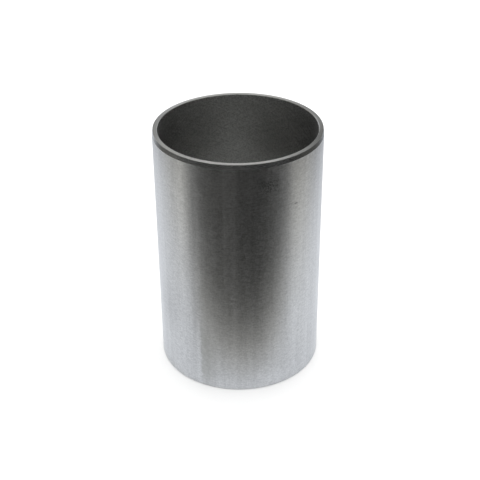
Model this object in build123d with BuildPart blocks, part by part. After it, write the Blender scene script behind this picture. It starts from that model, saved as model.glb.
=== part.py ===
# Cylinder liner: a plain dry liner with no flange, one iron sleeve turned all over.
# It stands on its square end, with the lead-in end up. Z runs along the bore, Z = 0 is the foot.
from build123d import *
import os

# Driving dimensions, in millimetres
liner_length = 141.5  # over the two end faces
bore_diameter = 86.0  # honed surface that the piston runs on
wall_thickness = 2.85  # from the bore to the ground outside
lead_in_height = 2.5  # steep outer chamfer of the upper end, along the axis
lead_in_depth = 0.4  # the same chamfer, into the wall
bore_mouth_break = 0.2  # 45 degree break where the rings enter at the upper end
foot_outer_break = 0.5  # 45 degree break of the foot's outer edge
foot_bore_break = 0.5  # 45 degree break of the foot's bore edge

bore_radius = bore_diameter / 2

with BuildPart() as cylinder_liner:
    # Half-section of the wall, turned about the bore's axis
    with BuildSketch(Plane.XZ):
        with Locations((bore_radius, 0)):
            Rectangle(wall_thickness, liner_length, align=(Align.MIN, Align.MIN))
    revolve(axis=Axis.Z)

    # The four rims: two of the bore and two of the outside
    rims = cylinder_liner.edges().filter_by(GeomType.CIRCLE)
    upper_rims = rims.group_by(Axis.Z)[-1].sort_by(SortBy.RADIUS)
    foot_rims = rims.group_by(Axis.Z)[0].sort_by(SortBy.RADIUS)

    # Lead-in that guides the sleeve into the block: long on the outside, shallow across the face
    ground_outside = cylinder_liner.faces().filter_by(GeomType.CYLINDER).sort_by(SortBy.AREA)[-1]
    chamfer(upper_rims[-1], lead_in_height, lead_in_depth, reference=ground_outside)

    # Broken edges
    chamfer(upper_rims[0], bore_mouth_break)
    chamfer(foot_rims[-1], foot_outer_break)
    chamfer(foot_rims[0], foot_bore_break)

cylinder_liner.part.label = "cylinder_liner"

os.makedirs("parts", exist_ok=True)
export_step(cylinder_liner.part, "parts/cylinder_liner.step")
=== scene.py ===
"""Dry cylinder liner, dressed for its photograph.

The sleeve is one surface of revolution: its wall section, with every edge lightly rounded, is
carried round the bore's axis. Four finishes share it: the ground outside, the turned lead-in,
the faced ends and the honed bore.
"""

import math

import bpy
import numpy as np
from bpy.props import FloatProperty, FloatVectorProperty, IntProperty, PointerProperty
from mathutils import Matrix


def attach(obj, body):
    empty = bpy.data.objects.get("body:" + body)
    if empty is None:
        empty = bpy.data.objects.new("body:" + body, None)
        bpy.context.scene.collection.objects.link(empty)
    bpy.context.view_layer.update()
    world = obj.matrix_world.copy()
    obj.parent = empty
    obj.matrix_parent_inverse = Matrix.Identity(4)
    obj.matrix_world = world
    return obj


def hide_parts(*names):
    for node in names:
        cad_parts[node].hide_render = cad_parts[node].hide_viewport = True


bl_info = {
    "name": "Cylinder Liner",
    "version": (1, 0, 0),
    "blender": (4, 5, 0),
    "location": "3D View > Sidebar > Liner",
    "description": "Builds a dry cylinder liner, its metal finishes and a small studio round it",
    "category": "Object",
}

NODE = "cylinder_liner"
BODY = "root"
METALS = ("ground_outside", "turned_lead_in", "faced_end", "honed_bore")
GROUND, LEAD_IN, FACED, HONED = METALS
MM = 0.001

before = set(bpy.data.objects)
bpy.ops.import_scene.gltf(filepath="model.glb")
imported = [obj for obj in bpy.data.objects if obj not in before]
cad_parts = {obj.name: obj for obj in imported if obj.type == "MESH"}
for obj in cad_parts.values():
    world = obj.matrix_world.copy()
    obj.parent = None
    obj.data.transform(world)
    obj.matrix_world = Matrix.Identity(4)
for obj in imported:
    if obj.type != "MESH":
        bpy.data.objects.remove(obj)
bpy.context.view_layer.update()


def read_section():
    """The wall section's radii and heights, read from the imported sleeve's own corners.

    A corner's radius is its distance from the Z axis. The foot's corners are the lowest, the
    rim's the highest, and the outside and the bore have the largest and the smallest radius.
    """
    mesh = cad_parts[NODE].data
    corners = np.empty(len(mesh.vertices) * 3)
    mesh.vertices.foreach_get("co", corners)
    corners = corners.reshape(-1, 3)
    radius = np.hypot(corners[:, 0], corners[:, 1])
    height = corners[:, 2]
    close = 0.01 * MM
    at_rim = height > height.max() - close
    outside = radius > radius.max() - close
    bore = radius < radius.min() + close
    return {
        "bore_radius": radius.min(),
        "outer_radius": radius.max(),
        "length": height.max(),
        "lead_in_height": height.max() - height[outside].max(),
        "lead_in_depth": radius.max() - radius[at_rim].max(),
        "mouth_break": height.max() - height[bore].max(),
        "foot_outer_break": height[outside].min(),
        "foot_bore_break": height[bore].min(),
    }


SECTION = {name: float(value) for name, value in read_section().items()}


# What a user may change


def length_property(name, description, default):
    """A length in metres, shown in the scene's units."""
    return FloatProperty(name=name, description=description, default=default, min=0.0,
                         subtype="DISTANCE", unit="LENGTH")


def colour_property(name, description, default):
    """A linear colour between 0 and 1."""
    return FloatVectorProperty(name=name, description=description, default=default, size=3,
                               min=0.0, max=1.0, subtype="COLOR")


class LinerSizes(bpy.types.PropertyGroup):
    """Sizes of the sleeve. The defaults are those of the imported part."""

    bore_radius: length_property("Bore radius", "Half the honed bore's diameter", SECTION["bore_radius"])
    outer_radius: length_property("Outer radius", "Half the diameter of the ground outside",
                                  SECTION["outer_radius"])
    length: length_property("Length", "Over the two end faces", SECTION["length"])
    lead_in_height: length_property("Lead-in height", "Steep outer chamfer, along the axis",
                                    SECTION["lead_in_height"])
    lead_in_depth: length_property("Lead-in depth", "Steep outer chamfer, into the wall",
                                   SECTION["lead_in_depth"])
    mouth_break: length_property("Mouth break", "Broken edge at the bore's upper end",
                                 SECTION["mouth_break"])
    foot_outer_break: length_property("Foot outer break", "Broken outer edge of the foot",
                                      SECTION["foot_outer_break"])
    foot_bore_break: length_property("Foot bore break", "Broken bore edge of the foot",
                                     SECTION["foot_bore_break"])
    edge_round: length_property("Edge round", "Radius that handling leaves on every turned edge", 0.06 * MM)
    steps_around: IntProperty(name="Steps around", description="Faces round the sleeve", default=640, min=48)


class LinerFinish(bpy.types.PropertyGroup):
    """Colours of the four finishes, of their marks and painted shade, and of the wear with its painted
    highlight.
    """

    ground_colour: colour_property("Ground outside", "Ground iron of the outside", (0.555, 0.553, 0.545))
    lead_in_colour: colour_property("Lead-in", "Turned iron of the lead-in", (0.525, 0.53, 0.525))
    face_colour: colour_property("End faces", "Turned iron of the two end faces", (0.545, 0.55, 0.55))
    bore_colour: colour_property("Honed bore", "Honed iron of the bore", (0.58, 0.58, 0.57))
    # Also the colour of the painted highlights on the edges
    wear_and_highlight_colour: colour_property("Worn edges", "Bright iron where edges are rubbed", (0.78, 0.78, 0.77))
    # Colour of a painted dark reflection, a stripe near the foot
    reflection_stripe_colour: colour_property("Wiped stripe", "Stripe near the foot", (0.29, 0.285, 0.25))
    soil_colour: colour_property("Soil", "Dark of the nick, the pits and the smudges", (0.03, 0.028, 0.025))
    # Colour of the painted shade on the lead-in
    lead_in_shade_colour: colour_property("Film on the lead-in", "Oil that dulls the lead-in", (0.08, 0.078, 0.073))
    # Colour of the painted shade in the bore
    bore_shade_colour: colour_property("Film in the bore", "Oil that dulls the bore", (0.2, 0.198, 0.19))


class LinerStudio(bpy.types.PropertyGroup):
    """The pale sheet, its surroundings and the light."""

    floor_colour: colour_property("Floor", "Pale sheet that the sleeve stands on", (0.88, 0.88, 0.88))
    fill: FloatProperty(name="Fill", description="Strength of the even light from all round",
                        default=1.3, min=0.0)
    softbox_power: FloatProperty(name="Softbox", description="Power of the softbox overhead, in watts",
                                 default=4.3, min=0.0, subtype="POWER", unit="POWER")
    sheet_front: length_property("Sheet in front", "From the axis to the sheet's front edge", 0.0836)
    sheet_reach: length_property("Sheet reach", "From the axis to the sheet's other edges", 0.47)
    sheet_soft: length_property("Sheet edge blur", "Depth over which the front edge fades out", 0.082)


# Node helpers


def add_node(tree, kind, **settings):
    """A new node with its settings."""
    made = tree.nodes.new(kind)
    for name, value in settings.items():
        setattr(made, name, value)
    return made


def feed(tree, socket, value):
    """Links a socket to another one, or sets it to a plain value."""
    if isinstance(value, bpy.types.NodeSocket):
        tree.links.new(value, socket)
    else:
        socket.default_value = value


def calc(tree, operation, *values):
    """A Math node's result."""
    made = add_node(tree, "ShaderNodeMath", operation=operation)
    for socket, value in zip(made.inputs, values):
        feed(tree, socket, value)
    return made.outputs[0]


def plus(tree, first, *others):
    """The sum of several values."""
    for value in others:
        first = calc(tree, "ADD", first, value)
    return first


def times(tree, first, *others):
    """The product of several values."""
    for value in others:
        first = calc(tree, "MULTIPLY", first, value)
    return first


def one_minus(tree, value):
    """1 less the value."""
    return calc(tree, "SUBTRACT", 1.0, value)


def weighted(tree, start, *pairs):
    """A starting value plus weighted ones, each pair a weight and a value."""
    for share, value in pairs:
        start = plus(tree, start, times(tree, value, share))
    return start


def ramp(tree, value, low, high, to_low=0.0, to_high=1.0, smooth=True):
    """The value taken from the span low to high into the span to_low to to_high, held at its ends."""
    made = add_node(tree, "ShaderNodeMapRange", interpolation_type="SMOOTHSTEP" if smooth else "LINEAR")
    for name, number in (("Value", value), ("From Min", low), ("From Max", high),
                         ("To Min", to_low), ("To Max", to_high)):
        feed(tree, made.inputs[name], number)
    return made.outputs["Result"]


def split(tree, vector):
    """A vector's x, y and z."""
    made = add_node(tree, "ShaderNodeSeparateXYZ")
    feed(tree, made.inputs[0], vector)
    return made.outputs["X"], made.outputs["Y"], made.outputs["Z"]


def joined(tree, x, y, z):
    """A vector from its x, y and z."""
    made = add_node(tree, "ShaderNodeCombineXYZ")
    for socket, value in zip(made.inputs, (x, y, z)):
        feed(tree, socket, value)
    return made.outputs[0]


def stretched(tree, vector, x, y, z):
    """A vector with each axis multiplied."""
    made = add_node(tree, "ShaderNodeVectorMath", operation="MULTIPLY")
    feed(tree, made.inputs[0], vector)
    feed(tree, made.inputs[1], joined(tree, x, y, z))
    return made.outputs[0]


def distance(tree, x, y):
    """The square root of x squared plus y squared."""
    return calc(tree, "SQRT", plus(tree, times(tree, x, x), times(tree, y, y)))


def azimuth_and_height(tree, vector):
    """A place's azimuth about the axis, 0 at the front, in radians, and its height in metres."""
    x, y, z = split(tree, vector)
    return calc(tree, "ARCTAN2", x, times(tree, y, -1.0)), z


def noise(tree, vector, scale=1.0, detail=2.0, rough=0.5, distortion=0.0):
    """A Noise Texture's factor."""
    made = add_node(tree, "ShaderNodeTexNoise", noise_dimensions="3D")
    for name, value in (("Vector", vector), ("Scale", scale), ("Detail", detail),
                        ("Roughness", rough), ("Distortion", distortion)):
        feed(tree, made.inputs[name], value)
    return made.outputs["Fac"]


def mixed(tree, share, first, second):
    """One colour blended into another, by a share that is held between 0 and 1."""
    made = add_node(tree, "ShaderNodeMix", data_type="RGBA")
    feed(tree, made.inputs[0], share)
    feed(tree, made.inputs[6], first)
    feed(tree, made.inputs[7], second)
    return made.outputs[2]


def rgba(colour, shade=1.0):
    """A colour times a shade, with full alpha."""
    return (*[shade * part for part in colour], 1.0)


def new_group(name, settings, results):
    """An empty shader node group: (its tree, its input sockets, its output sockets).

    It is given a Vector and the named settings, numbers with their defaults, and puts out numbers.
    """
    tree = bpy.data.node_groups.new(name, "ShaderNodeTree")
    tree.interface.new_socket("Vector", in_out="INPUT", socket_type="NodeSocketVector")
    for label, default in settings.items():
        socket = tree.interface.new_socket(label, in_out="INPUT", socket_type="NodeSocketFloat")
        socket.default_value = default
    for label in results:
        tree.interface.new_socket(label, in_out="OUTPUT", socket_type="NodeSocketFloat")
    return tree, add_node(tree, "NodeGroupInput").outputs, add_node(tree, "NodeGroupOutput").inputs


def place_group(tree, name, place, **settings):
    """A group placed in a material, its settings named with underscores for spaces. Gives its outputs."""
    made = add_node(tree, "ShaderNodeGroup", node_tree=bpy.data.node_groups[name])
    feed(tree, made.inputs["Vector"], place)
    for label, value in settings.items():
        feed(tree, made.inputs[label.replace("_", " ")], value)
    return made.outputs


# Shared effects


def make_round_lines():
    """Tool lines round the axis: noise squeezed hard along the third axis and hardly along the others."""
    tree, given, result = new_group("Round Lines", {"Lines": 7000.0, "Run": 70.0}, ["Height"])
    squeezed = stretched(tree, given["Vector"], given["Run"], given["Run"], given["Lines"])
    feed(tree, result["Height"], noise(tree, squeezed, detail=3.0, rough=0.6))


def make_helix_lines():
    """Hone lines: each point is turned about the axis in step with its height, so that lines wind round."""
    tree, given, result = new_group("Helix Lines", {"Turn": 50.0, "Grain": 1900.0, "Run": 130.0}, ["Height"])
    height = split(tree, given["Vector"])[2]
    turned = add_node(tree, "ShaderNodeVectorRotate", rotation_type="Z_AXIS")
    feed(tree, turned.inputs["Vector"], given["Vector"])
    feed(tree, turned.inputs["Angle"], times(tree, height, given["Turn"]))
    squeezed = stretched(tree, turned.outputs[0], given["Grain"], given["Grain"], given["Run"])
    feed(tree, result["Height"], noise(tree, squeezed, detail=2.0, rough=0.55))


def make_axial_streaks():
    """Wipe and draw marks along the axis: noise that changes round the sleeve and hardly along it."""
    tree, given, result = new_group("Axial Streaks", {"Across": 310.0, "Along": 9.0}, ["Mask"])
    squeezed = stretched(tree, given["Vector"], given["Across"], given["Across"], given["Along"])
    feed(tree, result["Mask"], noise(tree, squeezed, detail=2.0, rough=0.6))


def make_handling_film():
    """A thin uneven film of oil and dust: a mask of broad patches, and a fine grain."""
    tree, given, result = new_group("Handling Film", {"Patches": 45.0, "Grain": 1100.0}, ["Mask", "Grain"])
    broad = noise(tree, given["Vector"], given["Patches"], detail=4.0, rough=0.55, distortion=0.4)
    feed(tree, result["Mask"], ramp(tree, broad, 0.35, 0.7))
    feed(tree, result["Grain"], noise(tree, given["Vector"], given["Grain"], detail=2.0, rough=0.7))


def make_rim_wear_and_highlight():
    """Rubbed edges with a painted highlight: the mesh's own rim attribute, 1 on an edge, broken up by noise.
    """
    tree, given, result = new_group("Rim Wear And Highlight", {"Amount": 0.7, "Breaks": 380.0}, ["Mask"])
    rim = add_node(tree, "ShaderNodeAttribute", attribute_name="rim").outputs["Fac"]
    broken = ramp(tree, noise(tree, given["Vector"], given["Breaks"], detail=4.0, rough=0.7), 0.3, 0.62)
    feed(tree, result["Mask"], times(tree, rim, weighted(tree, 0.4, (0.6, broken)), given["Amount"]))


def make_placed_mark():
    """A mark at one azimuth and height: 1 in its middle, fading to 0 at its half width and half height."""
    tree, given, result = new_group(
        "Placed Mark",
        {"Azimuth": 0.0, "Height": 0.0, "Half Width": 0.03, "Half Height": 0.01, "Edge": 0.3}, ["Mask"])
    azimuth, height = azimuth_and_height(tree, given["Vector"])
    sides = []
    for place, centre, half in ((azimuth, "Azimuth", "Half Width"), (height, "Height", "Half Height")):
        away = calc(tree, "ABSOLUTE", calc(tree, "SUBTRACT", place, given[centre]))
        share = calc(tree, "DIVIDE", away, given[half])
        sides.append(ramp(tree, share, one_minus(tree, given["Edge"]), 1.0, 1.0, 0.0))
    feed(tree, result["Mask"], times(tree, *sides))


def mark(tree, place, azimuth, height, half_width, half_height, edge):
    """A placed mark with its azimuths in degrees and its heights in millimetres."""
    return place_group(tree, "Placed Mark", place, Azimuth=math.radians(azimuth), Height=height * MM,
                       Half_Width=math.radians(half_width), Half_Height=half_height * MM, Edge=edge)["Mask"]


def marks(tree, place, rows):
    """Marks with their weights, as pairs. Each row is a weight and then what one mark is given."""
    return [(share, mark(tree, place, *row)) for share, *row in rows]


# Materials

# Height of the rim in millimetres
RIM = SECTION["length"] / MM
# Each row of marks is a weight, the azimuth and height of the middle, the half width, the half height,
# and the share of these two over which the mark fades out. Azimuths are in degrees from the front, and
# heights in millimetres from the foot.
# Painted light: pale bands over the outside and over its foot
PAINTED_LIGHT_BANDS = (
    (0.4, -41.0, 123.0, 3.8, 34.0, 0.4),
    (2.4, -66.0, 125.0, 18.0, 52.0, 1.0),
    (2.2, 80.0, 6.0, 14.0, 26.0, 1.0),
    (1.7, 15.0, 0.0, 110.0, 16.0, 0.9),
)
# Painted shade: dull bands over the outside
PAINTED_SHADE_BANDS = (
    (1.0, -33.0, 98.0, 5.0, 48.0, 0.7),
    (2.1, -58.0, 43.0, 24.0, 27.0, 1.0),
    (1.3, -44.0, 72.0, 20.0, 70.0, 1.0),
    (2.3, 11.5, 84.0, 15.0, 84.0, 0.9),
    (0.7, 39.0, 88.0, 14.0, 52.0, 1.0),
    (0.9, -31.0, 50.0, 5.0, 22.0, 0.8),
    (0.9, -45.0, 136.0, 5.0, 18.0, 0.9),
    (0.6, -33.0, 38.0, 9.0, 34.0, 1.0),
    (0.7, 30.0, 52.0, 11.0, 30.0, 1.0),
    (1.1, 14.0, 134.0, 6.0, 16.0, 0.9),
    (0.6, 45.0, 136.0, 7.0, 14.0, 0.9),
)
NICK = (0.5, 40.3, 114.1, 2.0, 0.6, 0.6)
HAIRLINE = (0.22, 35.0, 115.0, 7.5, 0.4, 0.7)
SMUDGES = (
    (0.14, -48.0, 116.0, 3.0, 2.2, 0.8),
    (0.14, 0.4, 137.0, 2.0, 4.0, 0.9),
)
# Painted shade on the lead-in, at its sides
LEAD_IN_PAINTED_SHADES = (
    (0.80, 88.0, RIM - 1.2, 36.0, 3.0, 0.9),
    (0.65, 50.0, RIM - 1.2, 24.0, 3.0, 0.9),
    (0.42, -55.0, RIM - 1.2, 26.0, 3.0, 0.9),
)
# Painted light and shade round the end faces: lighter at two azimuths and darker at a third
FACE_PAINTED_LIGHT_AND_SHADE = (
    (0.30, -57.0, RIM, 26.0, 4.0, 1.0),
    (0.42, -123.0, RIM, 28.0, 4.0, 1.0),
    (-0.30, 77.0, RIM, 30.0, 4.0, 1.0),
)
# Painted shade on the bore's far side, left and right
BORE_PAINTED_SHADES = (
    (0.45, 152.0, 115.0, 30.0, 32.0, 1.0),
    (0.33, -148.0, 115.0, 26.0, 32.0, 1.0),
)


def start_metal(name, anisotropy):
    """A metal with its grain round the axis: (its tree, its Principled node, its object coordinates).

    The quarter turn makes the anisotropy blur what the metal mirrors across the grain.
    """
    material = bpy.data.materials.new(name)
    material.use_nodes = True
    tree = material.node_tree
    shader = tree.nodes["Principled BSDF"]
    shader.inputs["Metallic"].default_value = 1.0
    shader.inputs["Anisotropic"].default_value = anisotropy
    shader.inputs["Anisotropic Rotation"].default_value = 0.25
    return tree, shader, add_node(tree, "ShaderNodeTexCoord").outputs["Object"]


def two_tone(tree, share, base, dark, bright):
    """A base colour blended from its dark shade into its bright one."""
    return mixed(tree, share, rgba(base, dark), rgba(base, bright))


def add_bump(tree, shader, layers):
    """Bump nodes in a chain, each layer a height socket, its depth in millimetres and its strength."""
    normal = None
    for height, depth, strength in layers:
        bump = add_node(tree, "ShaderNodeBump")
        bump.inputs["Strength"].default_value = strength
        bump.inputs["Distance"].default_value = depth * MM
        feed(tree, bump.inputs["Height"], height)
        if normal is not None:
            feed(tree, bump.inputs["Normal"], normal)
        normal = bump.outputs["Normal"]
    feed(tree, shader.inputs["Normal"], normal)


def painted_reflection_stripe(tree, place):
    """A painted dark reflection, a stripe: it starts sharply on the left, fades to the right and is
    strongest near the foot.
    """
    azimuth, height = azimuth_and_height(tree, place)
    uneven = ramp(tree, noise(tree, place, 260.0, 3.0), 0.3, 0.7, math.radians(-1.0), math.radians(1.0))
    across = plus(tree, azimuth, uneven)
    left_side = ramp(tree, across, math.radians(-28.4), math.radians(-27.0))
    right_side = ramp(tree, across, math.radians(-25.0), math.radians(-11.0), 1.0, 0.0)
    near_foot = ramp(tree, height, 28.0 * MM, 44.0 * MM, 0.28, 0.0)
    higher_up = ramp(tree, height, 60.0 * MM, 100.0 * MM, 0.20, 0.0)
    off_foot = ramp(tree, height, 1.0 * MM, 10.0 * MM, 0.25, 1.0)
    strength = times(tree, plus(tree, near_foot, higher_up), off_foot)
    blotches = noise(tree, stretched(tree, place, 500.0, 500.0, 160.0), detail=3.0)
    return times(tree, left_side, right_side, strength, ramp(tree, blotches, 0.35, 0.6, 0.75, 1.0))


def dark_marks(tree, place):
    """A nick with its hairline, smudges, and a patch of scattered faint pits."""
    patch = mark(tree, place, 20.5, 128.0, 10.0, 5.5, 0.9)
    pits = times(tree, patch, ramp(tree, noise(tree, place, 1500.0, 1.0), 0.52, 0.58))
    return weighted(tree, 0.0, *marks(tree, place, (NICK, HAIRLINE, *SMUDGES)), (0.55, pits))


def ground_outside(finish):
    """Ground iron: fine lines round the sleeve blur its mirror image along the axis, under faint bands of
    painted light and shade.
    """
    tree, shader, place = start_metal(GROUND, 0.86)
    lines = place_group(tree, "Round Lines", place, Lines=7000.0, Run=70.0)["Height"]
    dashes = place_group(tree, "Round Lines", place, Lines=1400.0, Run=330.0)["Height"]
    streaks = place_group(tree, "Axial Streaks", place, Across=310.0, Along=9.0)["Mask"]
    film = place_group(tree, "Handling Film", place, Patches=38.0, Grain=1000.0)
    wear_and_highlight = place_group(tree, "Rim Wear And Highlight", place, Amount=0.7, Breaks=380.0)["Mask"]
    grain = film["Grain"]

    # Painted light and shade over the outside: a bright stripe, stronger higher up, pale bands of painted
    # light and dull bands of painted shade
    height = azimuth_and_height(tree, place)[1]
    # A painted bright reflection: a stripe near the front, stronger higher up, where the metal is also a
    # little rougher
    haze_and_painted_stripe = times(tree, mark(tree, place, -6.1, 145.0, 4.4, 115.0, 0.25),
                 ramp(tree, height, 25.0 * MM, 120.0 * MM))
    pale = weighted(tree, 0.0, *marks(tree, place, PAINTED_LIGHT_BANDS))
    painted_shade = weighted(tree, 0.0, *marks(tree, place, PAINTED_SHADE_BANDS))
    # Painted light: a pale sliver left of the dark stripe
    painted_light_beside_stripe = mark(tree, place, -30.0, 24.0, 2.2, 36.0, 0.8)

    tone = 0.5
    for depth, layer in ((0.08, streaks), (0.14, dashes), (0.175, grain), (0.03, lines)):
        tone = plus(tree, tone, ramp(tree, layer, 0.3, 0.7, -depth, depth))
    tone = weighted(tree, tone, (0.15, haze_and_painted_stripe), (0.08, painted_light_beside_stripe), (0.10, pale), (-0.13, painted_shade))
    colour = two_tone(tree, tone, finish.ground_colour, 0.7, 1.3)
    # Wear on the edges, with a painted highlight on them
    colour = mixed(tree, wear_and_highlight, colour, rgba(finish.wear_and_highlight_colour))
    # A painted dark reflection: a stripe near the foot
    colour = mixed(tree, painted_reflection_stripe(tree, place), colour, rgba(finish.reflection_stripe_colour))
    colour = mixed(tree, dark_marks(tree, place), colour, rgba(finish.soil_colour))
    feed(tree, shader.inputs["Base Color"], colour)

    # Dust and fine scratches scatter a little light, which shows where the metal mirrors the dark
    dusty = weighted(tree, 0.0, (0.6, dashes), (0.4, grain))
    feed(tree, shader.inputs["Metallic"], ramp(tree, dusty, 0.44, 0.59, 1.0, 0.977))
    rough = plus(tree, ramp(tree, film["Mask"], 0.0, 1.0, 0.278, 0.292), times(tree, haze_and_painted_stripe, 0.035),
                 ramp(tree, dashes, 0.42, 0.58, 0.0, 0.026), ramp(tree, grain, 0.42, 0.58, 0.0, 0.014))
    feed(tree, shader.inputs["Roughness"], rough)
    add_bump(tree, shader, [(lines, 0.004, 0.25), (dashes, 0.05, 0.8), (grain, 0.03, 0.6),
                            (streaks, 0.02, 0.5)])


def turned_lead_in(finish):
    """Turned iron: coarser tool lines round the steep chamfer, under a thin patchy film, with painted shade
    at its sides.
    """
    tree, shader, place = start_metal(LEAD_IN, 0.6)
    lines = place_group(tree, "Round Lines", place, Lines=5000.0, Run=50.0)["Height"]
    film = place_group(tree, "Handling Film", place, Patches=60.0, Grain=1800.0)
    wear_and_highlight = place_group(tree, "Rim Wear And Highlight", place, Amount=0.9, Breaks=500.0)["Mask"]
    colour = two_tone(tree, ramp(tree, lines, 0.3, 0.7), finish.lead_in_colour, 0.88, 1.1)
    colour = mixed(tree, wear_and_highlight, colour, rgba(finish.wear_and_highlight_colour))
    # Painted shade at the lead-in's sides
    painted_shade = weighted(tree, 0.0, *marks(tree, place, LEAD_IN_PAINTED_SHADES))
    feed(tree, shader.inputs["Base Color"], mixed(tree, painted_shade, colour, rgba(finish.lead_in_shade_colour)))
    feed(tree, shader.inputs["Metallic"], ramp(tree, film["Mask"], 0.0, 1.0, 0.978, 0.952))
    feed(tree, shader.inputs["Roughness"], ramp(tree, film["Grain"], 0.3, 0.7, 0.20, 0.24))
    add_bump(tree, shader, [(lines, 0.006, 0.3)])


def faced_end(finish):
    """Turned end faces: the tool lines are rings, so the noise is squeezed along the radius."""
    tree, shader, place = start_metal(FACED, 0.9)
    x, y, _ = split(tree, place)
    radius = distance(tree, x, y)
    rings = place_group(tree, "Round Lines", joined(tree, x, y, radius), Lines=8000.0, Run=60.0)["Height"]
    film = place_group(tree, "Handling Film", place, Patches=90.0, Grain=1600.0)
    wear_and_highlight = place_group(tree, "Rim Wear And Highlight", place, Amount=0.6, Breaks=450.0)["Mask"]

    # Darker towards the face's outer edge, and darker still there at the front, where it is painted shade
    edge = SECTION["outer_radius"] - SECTION["lead_in_depth"]
    outer_ring = ramp(tree, radius, edge - 1.15 * MM, edge - 0.05 * MM)
    painted_shade_front_ring = times(tree, ramp(tree, radius, edge - 0.75 * MM, edge - 0.15 * MM),
                       mark(tree, place, 14.0, RIM, 40.0, 4.0, 0.9))
    shade = ramp(tree, plus(tree, rings, film["Grain"]), 0.7, 1.3, 0.42, 0.58)
    # Painted light and shade round the face
    shade = weighted(tree, shade, *marks(tree, place, FACE_PAINTED_LIGHT_AND_SHADE), (-0.15, outer_ring), (-0.42, painted_shade_front_ring))
    colour = two_tone(tree, shade, finish.face_colour, 0.4, 1.6)
    feed(tree, shader.inputs["Base Color"], mixed(tree, wear_and_highlight, colour, rgba(finish.wear_and_highlight_colour)))
    feed(tree, shader.inputs["Roughness"], ramp(tree, film["Mask"], 0.0, 1.0, 0.36, 0.40))
    add_bump(tree, shader, [(rings, 0.005, 0.3)])


def honed_bore(finish):
    """Honed iron: two sets of helix lines that cross, with painted light deep down and painted shade towards
    the mouth.
    """
    tree, shader, place = start_metal(HONED, 0.5)
    one_way, other_way = [
        place_group(tree, "Helix Lines", place, Turn=turn, Grain=1900.0, Run=130.0)["Height"]
        for turn in (50.0, -50.0)]
    film = place_group(tree, "Handling Film", place, Patches=45.0, Grain=1100.0)
    wear_and_highlight = place_group(tree, "Rim Wear And Highlight", place, Amount=0.4, Breaks=420.0)["Mask"]
    grain = film["Grain"]
    crossed = calc(tree, "MINIMUM", one_way, other_way)
    height = azimuth_and_height(tree, place)[1]
    # Painted light and shade along the bore: lighter deep down, darker towards the mouth
    shade = plus(tree, ramp(tree, crossed, 0.32, 0.56, 0.0, 0.5), ramp(tree, grain, 0.4, 0.6, 0.0, 0.5),
                 ramp(tree, height, 92.0 * MM, 141.0 * MM, 0.16, -0.16))
    colour = two_tone(tree, shade, finish.bore_colour, 0.68, 1.28)
    # Painted shade on the bore's far side
    painted_shade = weighted(tree, 0.0, *marks(tree, place, BORE_PAINTED_SHADES))
    colour = mixed(tree, painted_shade, colour, rgba(finish.bore_shade_colour))
    feed(tree, shader.inputs["Base Color"], mixed(tree, wear_and_highlight, colour, rgba(finish.wear_and_highlight_colour)))
    feed(tree, shader.inputs["Roughness"], ramp(tree, grain, 0.3, 0.7, 0.28, 0.30))
    add_bump(tree, shader, [(crossed, 0.005, 0.3)])


# The sleeve


def rounded_section(sizes):
    """The wall section as a closed line: (its points, their normals, finishes and closeness to an edge).

    The section's corners are joined by straight stretches, and each corner is an arc that both
    stretches touch: its centre lies on the corner's bisector, and its tangent points lie
    radius * tan(half the turn) away from the corner. A stretch also has points close to its
    ends, where the edge's wear and painted highlight fade out.
    """
    inner, outer, top = sizes.bore_radius, sizes.outer_radius, sizes.length
    corners = np.array([
        (inner, sizes.foot_bore_break),
        (inner, top - sizes.mouth_break),
        (inner + sizes.mouth_break, top),
        (outer - sizes.lead_in_depth, top),
        (outer, top - sizes.lead_in_height),
        (outer, sizes.foot_outer_break),
        (outer - sizes.foot_outer_break, 0.0),
        (inner + sizes.foot_bore_break, 0.0),
    ])
    # The finish of the stretch that starts at each corner
    finishes = [HONED, HONED, FACED, LEAD_IN, GROUND, FACED, FACED, FACED]
    arc_steps, rim_fade_reach, wall_step = 4, 0.25 * MM, 4.0 * MM
    ahead = np.roll(corners, -1, axis=0) - corners
    along = ahead / np.linalg.norm(ahead, axis=1)[:, None]
    before = np.roll(along, 1, axis=0)
    turn = np.arccos(np.clip((along * before).sum(axis=1), -1.0, 1.0))
    reach = sizes.edge_round * np.tan(turn / 2)
    # Left of the way round is outside the wall
    outward = np.stack([-along[:, 1], along[:, 0]], axis=1)

    points, normals, finish, rim = [], [], [], []
    for i, corner in enumerate(corners):
        here, last = outward[i], outward[i - 1]
        centre = corner - before[i] * reach[i] - last * sizes.edge_round
        share = np.linspace(0.0, 1.0, arc_steps + 1)
        # Directions on the arc, from the last stretch's normal to this one's
        bend = (np.sin((1 - share) * turn[i])[:, None] * last + np.sin(share * turn[i])[:, None] * here)
        bend = bend / np.sin(turn[i])
        points.append(centre + bend * sizes.edge_round)
        normals.append(bend)
        finish += [finishes[i]] * (arc_steps + 1)
        rim.append(np.ones(arc_steps + 1))

        start = corner + along[i] * reach[i]
        span = np.linalg.norm(ahead[i]) - reach[i] - reach[(i + 1) % len(corners)]
        fade = min(rim_fade_reach, span / 3)
        between = np.linspace(fade, span - fade, max(2, 1 + int(round(span / wall_step))))
        points.append(start + along[i] * between[:, None])
        normals.append(np.repeat(here[None], len(between), axis=0))
        finish += [finishes[i]] * len(between)
        rim.append(np.zeros(len(between)))
    return np.concatenate(points), np.concatenate(normals), finish, np.concatenate(rim)


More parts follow.
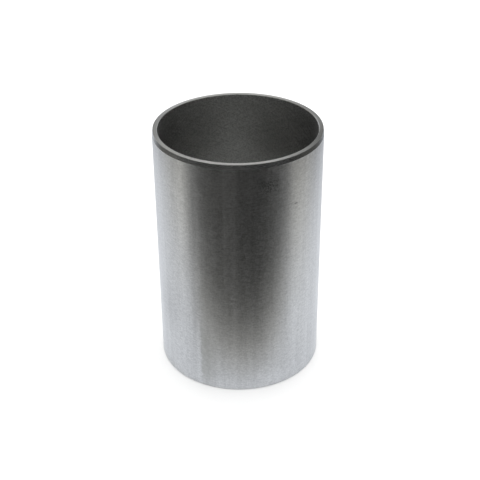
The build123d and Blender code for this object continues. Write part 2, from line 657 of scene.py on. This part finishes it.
def turned_surface(name, section, normals, finish, rim, steps_around):
    """A mesh object: the section carried round the Z axis, and closed both ways.

    A point of radius r at height z, carried to azimuth a, lies at (r sin a, -r cos a, z). Its
    normal is carried in the same way, so the long faces shade as the true cylinder does.
    """
    azimuth = np.linspace(-math.pi, math.pi, steps_around, endpoint=False)
    sine, cosine = np.sin(azimuth)[:, None], np.cos(azimuth)[:, None]

    def carried(flat):
        """Section values (radial, axial) at every azimuth, as rows of x, y, z."""
        axial = np.broadcast_to(flat[:, 1], (steps_around, len(flat)))
        return np.stack([sine * flat[:, 0], -cosine * flat[:, 0], axial], axis=-1).reshape(-1, 3)

    count = len(section)
    column, row = np.meshgrid(np.arange(steps_around), np.arange(count), indexing="ij")
    next_column, next_row = (column + 1) % steps_around, (row + 1) % count
    corners = [column * count + row, column * count + next_row,
               next_column * count + next_row, next_column * count + row]
    quads = np.stack(corners, axis=-1).reshape(-1, 4)

    mesh = bpy.data.meshes.new(name)
    mesh.from_pydata(carried(section), [], quads)
    for metal in METALS:
        mesh.materials.append(bpy.data.materials[metal])
    index = np.array([METALS.index(metal) for metal in finish], dtype=np.int32)
    mesh.polygons.foreach_set("material_index", np.tile(index, steps_around))
    mesh.polygons.foreach_set("use_smooth", np.ones(len(quads), dtype=bool))
    closeness = mesh.attributes.new("rim", "FLOAT", "POINT")
    closeness.data.foreach_set("value", np.tile(rim, steps_around).astype(np.float32))
    mesh.normals_split_custom_set_from_vertices(carried(normals))
    mesh.update()
    made = bpy.data.objects.new(name, mesh)
    bpy.context.scene.collection.objects.link(made)
    return made


# The studio

FLOOR_HALF = 4.0
SURROUND_HALF = 3.9
SHEET_GAP = 0.05 * MM
SOFTBOX_SIZE = (1.1, 0.9)
SOFTBOX_PLACE = (0.0, 0.35, 1.15)
SOFTBOX_TILT = -17.0
SOFTBOX_COLOUR = (1.0, 0.99, 0.955)
EVEN_COLOUR = (0.99, 0.995, 1.0)
DARK_COLOUR = (0.0145, 0.0142, 0.0125)
# Tints of what the metal mirrors: of the sheet, and of the room round it
SHEET_WARM, SHEET_COOL = (1.0, 0.985, 0.92), (0.9, 0.935, 1.0)
ROOM_WARM, ROOM_COOL = (1.0, 0.99, 0.94), (0.93, 0.965, 1.0)
# The photograph's camera: its place in metres, pitch in degrees, roll in radians, lens in millimetres
CAMERA_PLACE = (0.000585, -0.496449, 0.370813)
CAMERA_PITCH = 31.1281
CAMERA_ROLL = 0.00804
CAMERA_LENS = 76.747
CAMERA_SENSOR = 36.0


def level_square(name, half, height):
    """A level square round the axis, given half its side."""
    mesh = bpy.data.meshes.new(name)
    corners = [(-half, -half, height), (half, -half, height), (half, half, height), (-half, half, height)]
    mesh.from_pydata(corners, [], [(0, 1, 2, 3)])
    made = bpy.data.objects.new(name, mesh)
    bpy.context.scene.collection.objects.link(made)
    return made


def pale_floor(studio):
    """The plain pale floor, a hair's breadth below the sleeve's foot."""
    floor = level_square("pale_floor", FLOOR_HALF, -SHEET_GAP)
    material = bpy.data.materials.new("pale_floor")
    material.use_nodes = True
    shader = material.node_tree.nodes["Principled BSDF"]
    shader.inputs["Base Color"].default_value = rgba(studio.floor_colour)
    shader.inputs["Roughness"].default_value = 0.9
    shader.inputs["Specular IOR Level"].default_value = 0.1
    floor.data.materials.append(material)


def seen_in_metal(tree):
    """1 for what is seen mirrored in the metal, and 0 for what is seen directly or lights the floor."""
    path = add_node(tree, "ShaderNodeLightPath").outputs
    return times(tree, path["Is Glossy Ray"], calc(tree, "LESS_THAN", path["Diffuse Depth"], 0.5))


def blended(tree, share, first, second, output):
    """One shader blended into another and put out by a new output node of the kind named."""
    blend = add_node(tree, "ShaderNodeMixShader")
    for socket, value in zip(blend.inputs, (share, first, second)):
        feed(tree, socket, value)
    feed(tree, add_node(tree, output).inputs["Surface"], blend.outputs[0])


def sheet_shape(tree, studio, x, y):
    """Where the pale sheet lies: (share behind its front edge, share within its reach, way from the axis).

    The front edge is straight and leans forward on the left. Elsewhere the sheet ends in an
    oval, nearer on the right and further off at the back. Its way from the axis is squeezed
    and stretched in the same manner, and the sheet dims along it.
    """
    left_lean, right_squeeze, back_stretch = 0.06, 1.12, 0.75
    half = studio.sheet_soft / 2
    lean = calc(tree, "MAXIMUM", times(tree, x, -left_lean), 0.0)
    behind_edge = ramp(tree, plus(tree, y, lean), -studio.sheet_front - half, -studio.sheet_front + half)
    across = calc(tree, "MAXIMUM", times(tree, x, right_squeeze), times(tree, x, -1.0))
    along = calc(tree, "MAXIMUM", times(tree, y, back_stretch), times(tree, y, -1.0))
    away = distance(tree, across, along)
    dimming = ramp(tree, away, 0.05, 0.27, 1.0, 0.82, smooth=False)
    within_reach = times(tree, dimming, ramp(tree, away, 0.22, studio.sheet_reach, 1.0, 0.10))
    return behind_edge, within_reach, away


def dark_surround(studio):
    """The dim room beyond the pale sheet, which only the metal's mirror image of the floor shows.

    Over the sheet the surround is clear, and past the sheet's edges it turns dark. It tints
    what it lets through: cool close to the sleeve, and warm further off and at the front edge.
    """
    surround = level_square("dark_surround", SURROUND_HALF, SHEET_GAP)
    surround.visible_camera = False
    surround.visible_diffuse = False
    surround.visible_shadow = False
    surround.visible_transmission = False
    material = bpy.data.materials.new("dark_surround")
    material.use_nodes = True
    tree = material.node_tree
    tree.nodes.clear()
    x, y, _ = split(tree, add_node(tree, "ShaderNodeTexCoord").outputs["Object"])
    behind_edge, within_reach, away = sheet_shape(tree, studio, x, y)

    dark = add_node(tree, "ShaderNodeEmission")
    dark.inputs["Color"].default_value = rgba(DARK_COLOUR)
    feed(tree, dark.inputs["Strength"], ramp(tree, x, -0.3, 0.12, 1.6, 0.2))
    near = ramp(tree, calc(tree, "SUBTRACT", away, times(tree, y, 0.8)), 0.19, 0.28, 1.0, 0.0)
    off_foot = ramp(tree, away, 0.042, 0.05, 0.6, 1.0)
    cool = times(tree, ramp(tree, behind_edge, 0.4, 1.0), near, off_foot)
    clear = add_node(tree, "ShaderNodeBsdfTransparent")
    feed(tree, clear.inputs["Color"], mixed(tree, cool, rgba(SHEET_WARM), rgba(SHEET_COOL)))
    hidden = one_minus(tree, times(tree, behind_edge, within_reach))
    let_through = one_minus(tree, times(tree, hidden, seen_in_metal(tree)))
    blended(tree, let_through, dark.outputs[0], clear.outputs[0], "ShaderNodeOutputMaterial")
    surround.data.materials.append(material)


def studio_sky(studio):
    """Even light for the floor and a white backdrop for the camera.

    Mirrored in the metal, the room is dark on the camera's side and brightens towards the back,
    more so low down than high up, and it is a little brighter on the left.
    """
    world = bpy.data.worlds.new("studio_sky")
    bpy.context.scene.world = world
    world.use_nodes = True
    tree = world.node_tree
    tree.nodes.clear()
    x, y, z = split(tree, add_node(tree, "ShaderNodeTexCoord").outputs["Generated"])
    raised = ramp(tree, z, 0.08, 0.42)
    room = add_node(tree, "ShaderNodeMix")
    for index, value in ((0, raised), (2, ramp(tree, y, -0.1, 0.95, 0.015, 1.3)),
                         (3, ramp(tree, y, -0.8, 0.8, 0.032, 0.28))):
        feed(tree, room.inputs[index], value)
    cool = times(tree, ramp(tree, y, 0.0, 0.6), one_minus(tree, raised))
    mirrored = add_node(tree, "ShaderNodeBackground")
    feed(tree, mirrored.inputs["Color"], mixed(tree, cool, rgba(ROOM_WARM), rgba(ROOM_COOL)))
    feed(tree, mirrored.inputs["Strength"],
         times(tree, room.outputs[0], ramp(tree, x, -0.9, 0.9, 1.2, 0.65)))
    even = add_node(tree, "ShaderNodeBackground")
    even.inputs["Color"].default_value = rgba(EVEN_COLOUR)
    even.inputs["Strength"].default_value = studio.fill
    blended(tree, seen_in_metal(tree), even.outputs[0], mirrored.outputs[0], "ShaderNodeOutputWorld")


def softbox(studio):
    """The softbox overhead, a little behind the sleeve and tilted to face it."""
    light = bpy.data.lights.new("softbox", "AREA")
    light.shape = "RECTANGLE"
    light.size, light.size_y = SOFTBOX_SIZE
    light.energy = studio.softbox_power
    light.color = SOFTBOX_COLOUR
    made = bpy.data.objects.new("softbox", light)
    made.location = SOFTBOX_PLACE
    made.rotation_euler = (math.radians(SOFTBOX_TILT), 0.0, 0.0)
    made.visible_camera = False
    bpy.context.scene.collection.objects.link(made)


def photograph_camera():
    """The photograph's camera: it stands in front and looks down, rolled by half a degree."""
    camera = bpy.data.cameras.new("photograph_camera")
    camera.sensor_width = CAMERA_SENSOR
    camera.lens = CAMERA_LENS
    camera.clip_start, camera.clip_end = 0.01, 50.0
    made = bpy.data.objects.new("photograph_camera", camera)
    bpy.context.scene.collection.objects.link(made)
    pitch = math.radians(CAMERA_PITCH)
    ahead = np.array([0.0, math.cos(pitch), -math.sin(pitch)])
    level_up = np.array([0.0, math.sin(pitch), math.cos(pitch)])
    level_right = np.array([1.0, 0.0, 0.0])
    right = level_right * math.cos(CAMERA_ROLL) - level_up * math.sin(CAMERA_ROLL)
    up = level_right * math.sin(CAMERA_ROLL) + level_up * math.cos(CAMERA_ROLL)
    turned = Matrix(np.stack([right, up, -ahead], axis=1).tolist()).to_4x4()
    made.matrix_world = Matrix.Translation(CAMERA_PLACE) @ turned
    bpy.context.scene.camera = made


# Operators


class LINER_OT_finishes(bpy.types.Operator):
    """Make the shared effects and the four finishes of the sleeve"""

    bl_idname = "liner.finishes"
    bl_label = "Make Finishes"

    def execute(self, context):
        for make_effect in (make_round_lines, make_helix_lines, make_axial_streaks, make_handling_film,
                            make_rim_wear_and_highlight, make_placed_mark):
            make_effect()
        for make_finish in (ground_outside, turned_lead_in, faced_end, honed_bore):
            make_finish(context.scene.liner_finish)
        return {"FINISHED"}


class LINER_OT_sleeve(bpy.types.Operator):
    """Build the sleeve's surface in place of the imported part"""

    bl_idname = "liner.sleeve"
    bl_label = "Build Sleeve"

    def execute(self, context):
        sizes = context.scene.liner_sizes
        if sizes.outer_radius <= sizes.bore_radius:
            raise ValueError("the sleeve's outer radius has to be larger than its bore radius")
        sleeve = turned_surface("liner_sleeve", *rounded_section(sizes), sizes.steps_around)
        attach(sleeve, BODY)
        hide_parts(NODE)
        return {"FINISHED"}


class LINER_OT_studio(bpy.types.Operator):
    """Set up the pale floor, the light and the photograph's camera"""

    bl_idname = "liner.studio"
    bl_label = "Set Up Studio"

    def execute(self, context):
        for set_up in (pale_floor, dark_surround, studio_sky, softbox):
            set_up(context.scene.liner_studio)
        photograph_camera()
        context.scene.view_settings.view_transform = "Standard"
        return {"FINISHED"}


class LINER_PT_panel(bpy.types.Panel):
    """Sidebar panel with the sleeve's sizes, finishes and studio"""

    bl_idname = "LINER_PT_panel"
    bl_label = "Cylinder Liner"
    bl_space_type = "VIEW_3D"
    bl_region_type = "UI"
    bl_category = "Liner"

    def draw(self, context):
        for settings, operator in ((context.scene.liner_finish, LINER_OT_finishes),
                                   (context.scene.liner_sizes, LINER_OT_sleeve),
                                   (context.scene.liner_studio, LINER_OT_studio)):
            box = self.layout.box()
            for name in settings.__annotations__:
                box.prop(settings, name)
            box.operator(operator.bl_idname)


CLASSES = (LinerSizes, LinerFinish, LinerStudio, LINER_OT_finishes, LINER_OT_sleeve, LINER_OT_studio,
           LINER_PT_panel)


def register():
    """Adds the classes and the scene's settings."""
    for kind in CLASSES:
        bpy.utils.register_class(kind)
    bpy.types.Scene.liner_sizes = PointerProperty(type=LinerSizes)
    bpy.types.Scene.liner_finish = PointerProperty(type=LinerFinish)
    bpy.types.Scene.liner_studio = PointerProperty(type=LinerStudio)


def unregister():
    """Takes the scene's settings and the classes away again."""
    del bpy.types.Scene.liner_studio
    del bpy.types.Scene.liner_finish
    del bpy.types.Scene.liner_sizes
    for kind in reversed(CLASSES):
        bpy.utils.unregister_class(kind)


def main():
    """Runs every operator in order."""
    register()
    bpy.ops.liner.finishes()
    bpy.ops.liner.sleeve()
    bpy.ops.liner.studio()


if __name__ == "__main__":
    main()
